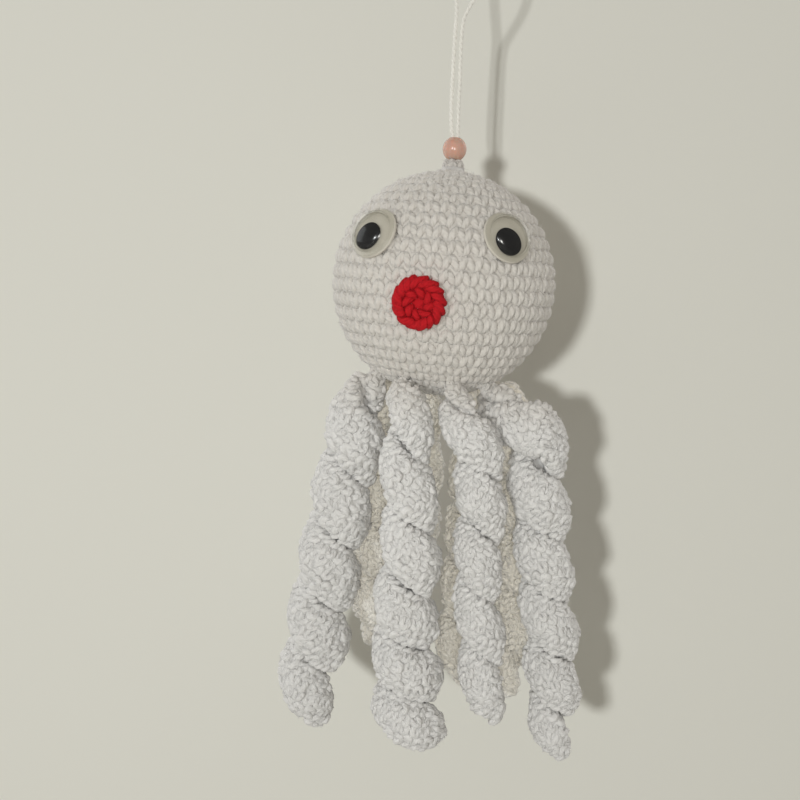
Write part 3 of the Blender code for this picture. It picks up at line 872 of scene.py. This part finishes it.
def strip_fabric(name, sections):
    """The skin of fabric of a strip."""
    shape = bmesh.new()
    rings = []
    for middle, out, edge in sections[::SKIN_STRIDE]:
        depth = max(0.3, 1 - TENTACLE_INSET / out.length)
        width = max(0.3, 1 - TENTACLE_INSET / edge.length)
        ring = []
        for side in range(SKIN_SIDES):
            angle = 2 * math.pi * side / SKIN_SIDES
            offset = out * depth * math.cos(angle) + edge * width * math.sin(angle)
            swell = lump(middle + offset)
            ring.append(shape.verts.new(middle + offset + offset.normalized() * swell))
        rings.append(ring)
    for above, below in zip(rings, rings[1:]):
        for side in range(SKIN_SIDES):
            after = (side + 1) % SKIN_SIDES
            shape.faces.new((above[side], above[after], below[after], below[side]))
    shape.faces.new(rings[0])
    shape.faces.new(rings[-1])
    bmesh.ops.recalc_face_normals(shape, faces=shape.faces)
    return mesh_from(shape, name)


def row_angles(section):
    """Angles round a section from its rim, in radians, that part its outer face into even rows."""
    _, out, edge = section
    steps = 60
    lengths, last = [0.0], out
    for step in range(1, steps + 1):
        angle = math.radians(ROWS_REACH) * step / steps
        place = out * math.cos(angle) + edge * math.sin(angle)
        lengths.append(lengths[-1] + (place - last).length)
        last = place
    rows = max(1, round(lengths[-1] / TENTACLE_STITCH))
    angles = []
    for row in range(rows + 1):
        target = lengths[-1] * row / rows
        at = min(range(steps + 1), key=lambda i: abs(lengths[i] - target))
        angles.append(math.radians(ROWS_REACH) * at / steps)
    return angles, lengths[-1] / rows


def strip_stitches(sections):
    """Where the stitches of a strip sit: rows round its outer face that open towards its rim."""
    places, walked, column = [], TENTACLE_STITCH, 0
    tip = len(sections) - 2 * FINE_STEPS
    for at in range(1, len(sections) - 1):
        middle, out, edge = sections[at]
        before, after = sections[at - 1], sections[at + 1]
        stride = (middle + out - before[0] - before[1]).length
        walked += stride
        if walked < TENTACLE_STITCH:
            continue
        walked -= TENTACLE_STITCH
        column += 1
        angles, row_height = row_angles(sections[at])
        for row in range(1 - len(angles), len(angles)):
            angle = math.copysign(angles[abs(row)], row)
            cos, sin = math.cos(angle), math.sin(angle)
            place = middle + out * cos + edge * sin
            step = after[0] + after[1] * cos + after[2] * sin
            step -= before[0] + before[1] * cos + before[2] * sin
            local = step.length / 2 / stride
            if local < 0.45 and (column + row) % 2:
                continue
            normal = (out * cos / out.length_squared + edge * sin / edge.length_squared).normalized()
            up = (edge * cos - out * sin) * (-1 if row > 0 else 1)
            if at > tip:
                square = up.cross(step)
                normal = square.normalized() * (1 if square.dot(normal) > 0 else -1)
            place += normal * lump(place) + step * (0.25 * (row % 2))
            size = min(1.1, max(0.6, row_height / TENTACLE_STITCH))
            places.append((place, normal, up.normalized(), size))
    return places


def make_tentacle(number, sizes, kit):
    """One crocheted strip, curled into its corkscrew."""
    azimuth, diameters, pitches, lead, way = sizes
    sections = strip_sections(tentacle_line(azimuth, way), diameters, pitches, lead)
    fabric = strip_fabric(f"strip_{number}", sections)
    tentacle = stitched_piece(
        f"crochet_tentacle_{number}", kit, strip_stitches(sections), "strip_stitch", fabric,
        (0.3, 12, 60), TENTACLE_FIBRES, 20 + number,
    )
    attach(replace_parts(tentacle, f"tentacle_{number}"), "root")


def make_nose(kit):
    """A round pad of two rings of stitches round a dimple, over a low cushion of fabric."""
    shape = bmesh.new()
    chance = random.Random(3)
    rings = [
        # strands, their start and end across the ring, heights there, radius, degrees they advance
        (15, (0.0057, 0.0040), (0.0006, 0.0021), 0.00100, 34),
        (8, (0.0035, 0.0016), (0.0016, 0.0013), 0.00085, -38),
    ]
    for count, reach, rise, radius, advance in rings:
        for strand in range(count):
            path, radii = [], []
            start = 2 * math.pi * (strand + 0.3 * chance.random()) / count
            swing = math.radians(advance) * (0.7 + 0.6 * chance.random())
            swell = 0.9 + 0.2 * chance.random()
            for step in range(7):
                t = step / 6
                out = blend(reach, t)
                turn = start + swing * t
                arch = 0.0008 * math.sin(math.pi * t) ** 0.8
                path.append(Vector((out * math.cos(turn), out * math.sin(turn), blend(rise, t) + arch)))
                radii.append(radius * swell * (0.75 + 0.25 * math.sin(math.pi * t)))
            add_strand(shape, path, radii, 8, PLY_LENGTH)
    strands = mark_fuzzy(mesh_from(shape, "nose_strands"))
    pad = turned_mesh(
        "nose_pad",
        [(0, 0.0011), (0.0010, 0.0013), (0.0022, 0.0020), (0.0034, 0.0018), (0.0046, 0.0020),
         (0.0055, 0.0010), (0.0056, -0.0003), (0.0046, -0.0005), (0.0025, 0.0), (0, 0.0002)],
        48,
    )
    joined = bmesh.new()
    joined.from_mesh(strands)
    joined.from_mesh(pad)
    bpy.data.meshes.remove(strands)
    bpy.data.meshes.remove(pad)
    direction = head_direction(NOSE_ACROSS, NOSE_UP)
    place = HEAD_CENTRE + direction * (HEAD_RADIUS + CLEARANCE)
    joined.transform(seat(direction, place))
    nose = add_piece("crochet_nose", mesh_from(joined, "crochet_nose"))
    add_tree(nose, kit["fibres"], {
        "Fibre": kit["fibre"], "Fibres Per Area": NOSE_FIBRES, "Seed": 5, "Yarn": kit["red"],
    })
    settle(nose, "crochet_nose")
    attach(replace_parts(nose, "nose"), "root")


def make_eye(side, card, black, clear):
    """A glued eye: pale backing, loose pupil disc and clear dome, where their solids lie."""
    low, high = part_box(f"eye_backing_{side}")
    direction = ((low + high) / 2 - HEAD_CENTRE).normalized()
    floor = HEAD_CENTRE + direction * (HEAD_RADIUS + CLEARANCE)
    radius, edge = EYE_DIAMETER / 2, BACKING_THICKNESS / 3
    disc = [(0, BACKING_THICKNESS), *arc((radius - edge, BACKING_THICKNESS - edge), edge, 90, 0, 3)]
    disc += [(radius, 0), (0, 0)]
    backing = turned_mesh(f"backing_{side}", disc, ROUND_SIDES, 40)
    backing.transform(seat(direction, floor))

    low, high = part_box(f"pupil_{side}")
    radius, edge = PUPIL_DIAMETER / 2, PUPIL_THICKNESS / 3
    half = PUPIL_THICKNESS / 2
    coin = [(0, half), *arc((radius - edge, half - edge), edge, 90, 0, 4)]
    coin += [*arc((radius - edge, edge - half), edge, 0, -90, 4), (0, -half)]
    pupil = turned_mesh(f"coin_{side}", coin, ROUND_SIDES, 40)
    pupil.transform(seat(direction, (low + high) / 2))

    steps = 20
    outer, inner = [(0.0, DOME_HEIGHT)], [(0.0, DOME_HEIGHT - DOME_WALL)]
    for step in range(1, steps + 1):
        angle = math.pi / 2 * (1 - step / steps)
        rise = (DOME_HEIGHT - DOME_WALL) * math.sin(angle) ** DOME_FULLNESS if step < steps else 0.0
        outer.append((DOME_DIAMETER / 2 * math.cos(angle), DOME_WALL + rise))
        inner.append(((DOME_DIAMETER / 2 - DOME_WALL) * math.cos(angle), rise))
    radius, edge = EYE_DIAMETER / 2, DOME_WALL / 2
    rim = [*arc((radius - edge, edge), edge, 90, -90, 6)]
    dome = turned_mesh(f"dome_{side}", outer + rim + inner[::-1], ROUND_SIDES, 50)
    dome.transform(seat(direction, floor + direction * (BACKING_THICKNESS + CLEARANCE)))

    rows = [
        (f"film_{side}", backing, card, f"eye_backing_{side}", "eye_backing"),
        (f"loose_pupil_{side}", pupil, black, f"pupil_{side}", "pupil_black"),
        (f"clear_dome_{side}", dome, clear, f"eye_dome_{side}", "clear_dome"),
    ]
    for name, mesh, finish, node, slot in rows:
        piece = add_piece(name, mesh, finish)
        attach(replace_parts(piece, node), "root")


def make_bead(finish):
    """The round bead, with its bore's edges eased."""
    low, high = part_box("bead")
    centre, radius = (low + high) / 2, (high.x - low.x) / 2
    bore = CORD_DIAMETER * 1.2
    edge = math.degrees(math.acos((bore + 0.0001) / radius))
    outside = arc((0, 0), radius, edge, -edge, 32)
    inside = [(bore, -outside[0][1] + 0.0001), (bore, outside[0][1] - 0.0001)]
    mesh = turned_mesh("round_bead", outside + inside, ROUND_SIDES, 60)
    mesh.transform(Matrix.Translation(centre))
    bead = add_piece("round_bead", mesh, finish)
    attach(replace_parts(bead, "bead"), "root")
    return bead


def make_knot(cotton):
    """The knot inside the head's top, as a strand laid over and under itself."""
    low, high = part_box("cord_knot")
    centre, reach = (low + high) / 2, (high.z - low.z) / 2
    strand = CORD_DIAMETER / 2
    path = []
    for step in range(KNOT_STEPS + 1):
        turn = 4 * math.pi * step / KNOT_STEPS
        swing = (reach - strand) * (0.62 + 0.30 * math.cos(1.5 * turn))
        path.append(centre + Vector((
            swing * math.cos(turn), swing * math.sin(turn), (reach - strand) * 0.55 * math.sin(1.5 * turn)
        )))
    shape = bmesh.new()
    add_strand(shape, path, [strand] * len(path), 10, CORD_PLY_LENGTH, 2, CORD_LOBE)
    knot = add_piece("tied_knot", mesh_from(shape, "tied_knot"), cotton)
    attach(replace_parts(knot, "cord_knot"), "root")
    return knot


def make_cord(cotton):
    """The doubled cord: one length of two-ply cotton from the knot, over the loop and back."""
    route = smooth_route(CORD_ROUTE, CORD_STEP)
    shape = bmesh.new()
    radii = [CORD_DIAMETER / 2 / (1 + CORD_LOBE / 2)] * len(route)
    add_strand(shape, route, radii, CORD_SIDES, CORD_PLY_LENGTH, 2, CORD_LOBE)
    cord = add_piece("cotton_cord", mesh_from(shape, "cotton_cord"), cotton)
    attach(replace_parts(cord, "hanging_cord"), "root")


def make_stuffing(fibre):
    """The ball of fibre, lumpy, and dented at the top for the knot."""
    low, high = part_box("stuffing")
    radius = (high.x - low.x) / 2
    centre = Vector(((low.x + high.x) / 2, (low.y + high.y) / 2, low.z + radius))
    knot_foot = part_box("cord_knot")[0].z
    shape = bmesh.new()
    bmesh.ops.create_icosphere(shape, subdivisions=5, radius=radius)
    for vertex in shape.verts:
        lump = noise.fractal(vertex.co * 260, 0.7, 2.0, 3)
        vertex.co = vertex.co.normalized() * (radius - 0.0006 + 0.0005 * lump) + centre
        if math.hypot(vertex.co.x, vertex.co.y) < KNOT_ROOM and vertex.co.z > centre.z:
            vertex.co.z = min(vertex.co.z, knot_foot - 0.0004)
    stuffing = add_piece("fibre_stuffing", mesh_from(shape, "fibre_stuffing"), fibre)
    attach(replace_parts(stuffing, "stuffing"), "root")


# Camera, light and backdrop


def make_camera():
    data = bpy.data.cameras.new("camera")
    data.lens = CAMERA_LENS
    data.sensor_width = CAMERA_SENSOR
    data.clip_start = 0.01
    camera = bpy.data.objects.new("camera", data)
    bpy.context.scene.collection.objects.link(camera)
    azimuth, pitch = math.radians(CAMERA_AZIMUTH), math.radians(CAMERA_PITCH)
    heading, roll = azimuth + math.radians(CAMERA_YAW), math.radians(CAMERA_ROLL)
    forward = Vector((
        -math.sin(heading) * math.cos(pitch), math.cos(heading) * math.cos(pitch), -math.sin(pitch)
    ))
    level = forward.cross(Vector((0, 0, 1))).normalized()
    upright = level.cross(forward)
    right = level * math.cos(roll) + upright * math.sin(roll)
    up = upright * math.cos(roll) - level * math.sin(roll)
    turn = Matrix((right, up, -forward)).transposed().to_4x4()
    place = Vector((math.sin(azimuth), -math.cos(azimuth), 0)) * CAMERA_DISTANCE
    turn.translation = HEAD_CENTRE + place
    camera.matrix_world = turn
    bpy.context.scene.camera = camera


def add_softbox(name, azimuth, elevation, distance, size, level, colour):
    """An area lamp aimed at the object. At level 1 a facing surface renders as its colour is written."""
    data = bpy.data.lights.new(name, "AREA")
    data.shape = "SQUARE"
    data.size = size
    data.energy = math.pi**2 * distance**2 * level
    data.color = colour
    lamp = bpy.data.objects.new(name, data)
    bpy.context.scene.collection.objects.link(lamp)
    direction = head_direction(azimuth, elevation)
    lamp.matrix_world = seat(direction, HEAD_CENTRE + direction * distance)
    return lamp


def make_light():
    """Soft lamps, each with what it lights, and the sky.

    The passed lamp stands for the light that the front tentacles let through to those behind, so only
    those behind block it.
    """
    lit = {"room": [], "octopus": [], "back_tentacles": []}
    for piece in bpy.context.scene.objects:
        if piece.type == "MESH":
            lit["room" if piece.name in ("wall", "floor") else "octopus"].append(piece)
        if piece.name[-2:] in BACK_ENDINGS:
            lit["back_tentacles"].append(piece)
    groups = {}
    for name, pieces in lit.items():
        groups[name] = bpy.data.collections.new(name)
        for piece in pieces:
            groups[name].objects.link(piece)
    behind = bpy.context.scene.camera.matrix_world @ Matrix.Translation((0, 0, FILL_BEHIND))
    for name, *shape, lights in SOFTBOXES:
        lamp = add_softbox(name, *shape)
        lamp.light_linking.receiver_collection = groups[lights]
        if lights == "back_tentacles":
            lamp.light_linking.blocker_collection = groups[lights]
        if name in AT_CAMERA:
            lamp.matrix_world = behind
    world = bpy.data.worlds.new("room")
    bpy.context.scene.world = world
    world.use_nodes = True
    tree = world.node_tree
    ground = tree.nodes["Background"]
    feed(ground, {"Color": (1.0, 0.95, 0.86, 1), "Strength": SKY_LEVEL})
    seen = add_node(tree, "ShaderNodeBackground", {"Color": (0.62, 0.62, 0.57, 1), "Strength": 1.0})
    rays = add_node(tree, "ShaderNodeLightPath").outputs
    either = calculate(tree, "MAXIMUM", rays["Is Camera Ray"], rays["Is Transmission Ray"])
    end_in_mix(tree, either, ground, seen, "World Output")


def backdrop_material(name, colour, one_sided=False):
    """Matt paint with a slight unevenness. One-sided, it is clear from behind and lets lamps through."""
    made, tree, shader = new_material(name)
    dark, light = [(*[part * level for part in colour], 1) for level in (0.97, 1.03)]
    tint = mix_colours(tree, object_noise(tree, 3.0, 2.0), dark, light)
    set_shader(shader, Base_Color=tint, Roughness=0.9, Specular_IOR_Level=0.1)
    if one_sided:
        rays = add_node(tree, "ShaderNodeLightPath").outputs
        seen = rays["Is Camera Ray"]
        for other in ("Is Glossy Ray", "Is Transmission Ray"):
            seen = calculate(tree, "MAXIMUM", seen, rays[other])
        side = add_node(tree, "ShaderNodeNewGeometry")
        share = calculate(tree, "SUBTRACT", seen, side.outputs["Backfacing"], use_clamp=True)
        end_in_mix(tree, share, add_node(tree, "ShaderNodeBsdfTransparent"), shader)
    return made


def add_panel(name, corners, finish):
    mesh = bpy.data.meshes.new(name)
    mesh.from_pydata(corners, [], [(0, 1, 2, 3)])
    panel = add_piece(name, mesh, finish)


def make_backdrop():
    """A pale wall close behind, with its face towards the camera, and a pale floor far below."""
    wide, top, front = 0.8, 0.6, -1.2
    wall = WALL_BEHIND
    add_panel(
        "wall",
        [(-wide, wall, FLOOR_BELOW), (wide, wall, FLOOR_BELOW), (wide, wall, top), (-wide, wall, top)],
        backdrop_material("wall_paint", (0.72, 0.71, 0.65), one_sided=True),
    )
    add_panel(
        "floor",
        [(-wide, front, FLOOR_BELOW), (wide, front, FLOOR_BELOW), (wide, wall, FLOOR_BELOW),
         (-wide, wall, FLOOR_BELOW)],
        backdrop_material("floor_paint", (0.74, 0.73, 0.68)),
    )


def main():
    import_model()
    bpy.context.scene.view_settings.view_transform = "Standard"
    make_camera()
    cotton = yarn_material("cord_cotton", (0.86, 0.85, 0.80), (0.68, 0.67, 0.62), 4000, 0.2, 0.00003)
    knot = make_knot(cotton)
    bead = make_bead(bead_material())
    make_cord(cotton)

    kit = {
        "white": yarn_material(
            # The head's multiplier is painted shade, darker and warmer than the tentacles' same yarn.
            "white_yarn", (0.78, 0.775, 0.765), (0.67, 0.665, 0.655), head=(0.87, 0.84, 0.80)
        ),
        "red": yarn_material("red_yarn", (0.57, 0.009, 0.018), (0.37, 0.0045, 0.008), 2600, 0.0),
        "stitches": stitch_tree(),
        "fibres": fibre_tree(),
        "head_stitch": add_piece("head_stitch", two_legged_stitch()),
        "strip_stitch": add_piece("strip_stitch", looped_stitch()),
        "fibre": add_piece("fibre", fibre_shape()),
    }
    make_head(kit)
    for number, sizes in enumerate(TENTACLES, 1):
        make_tentacle(number, sizes, kit)
    make_nose(kit)
    for source in ("head_stitch", "strip_stitch", "fibre"):
        bpy.data.objects.remove(kit[source])
    make_stuffing(fibre_material())
    card, black, clear = backing_material(), pupil_material(), dome_material()
    for side in ("left", "right"):
        make_eye(side, card, black, clear)
    make_backdrop()
    make_light()


main()
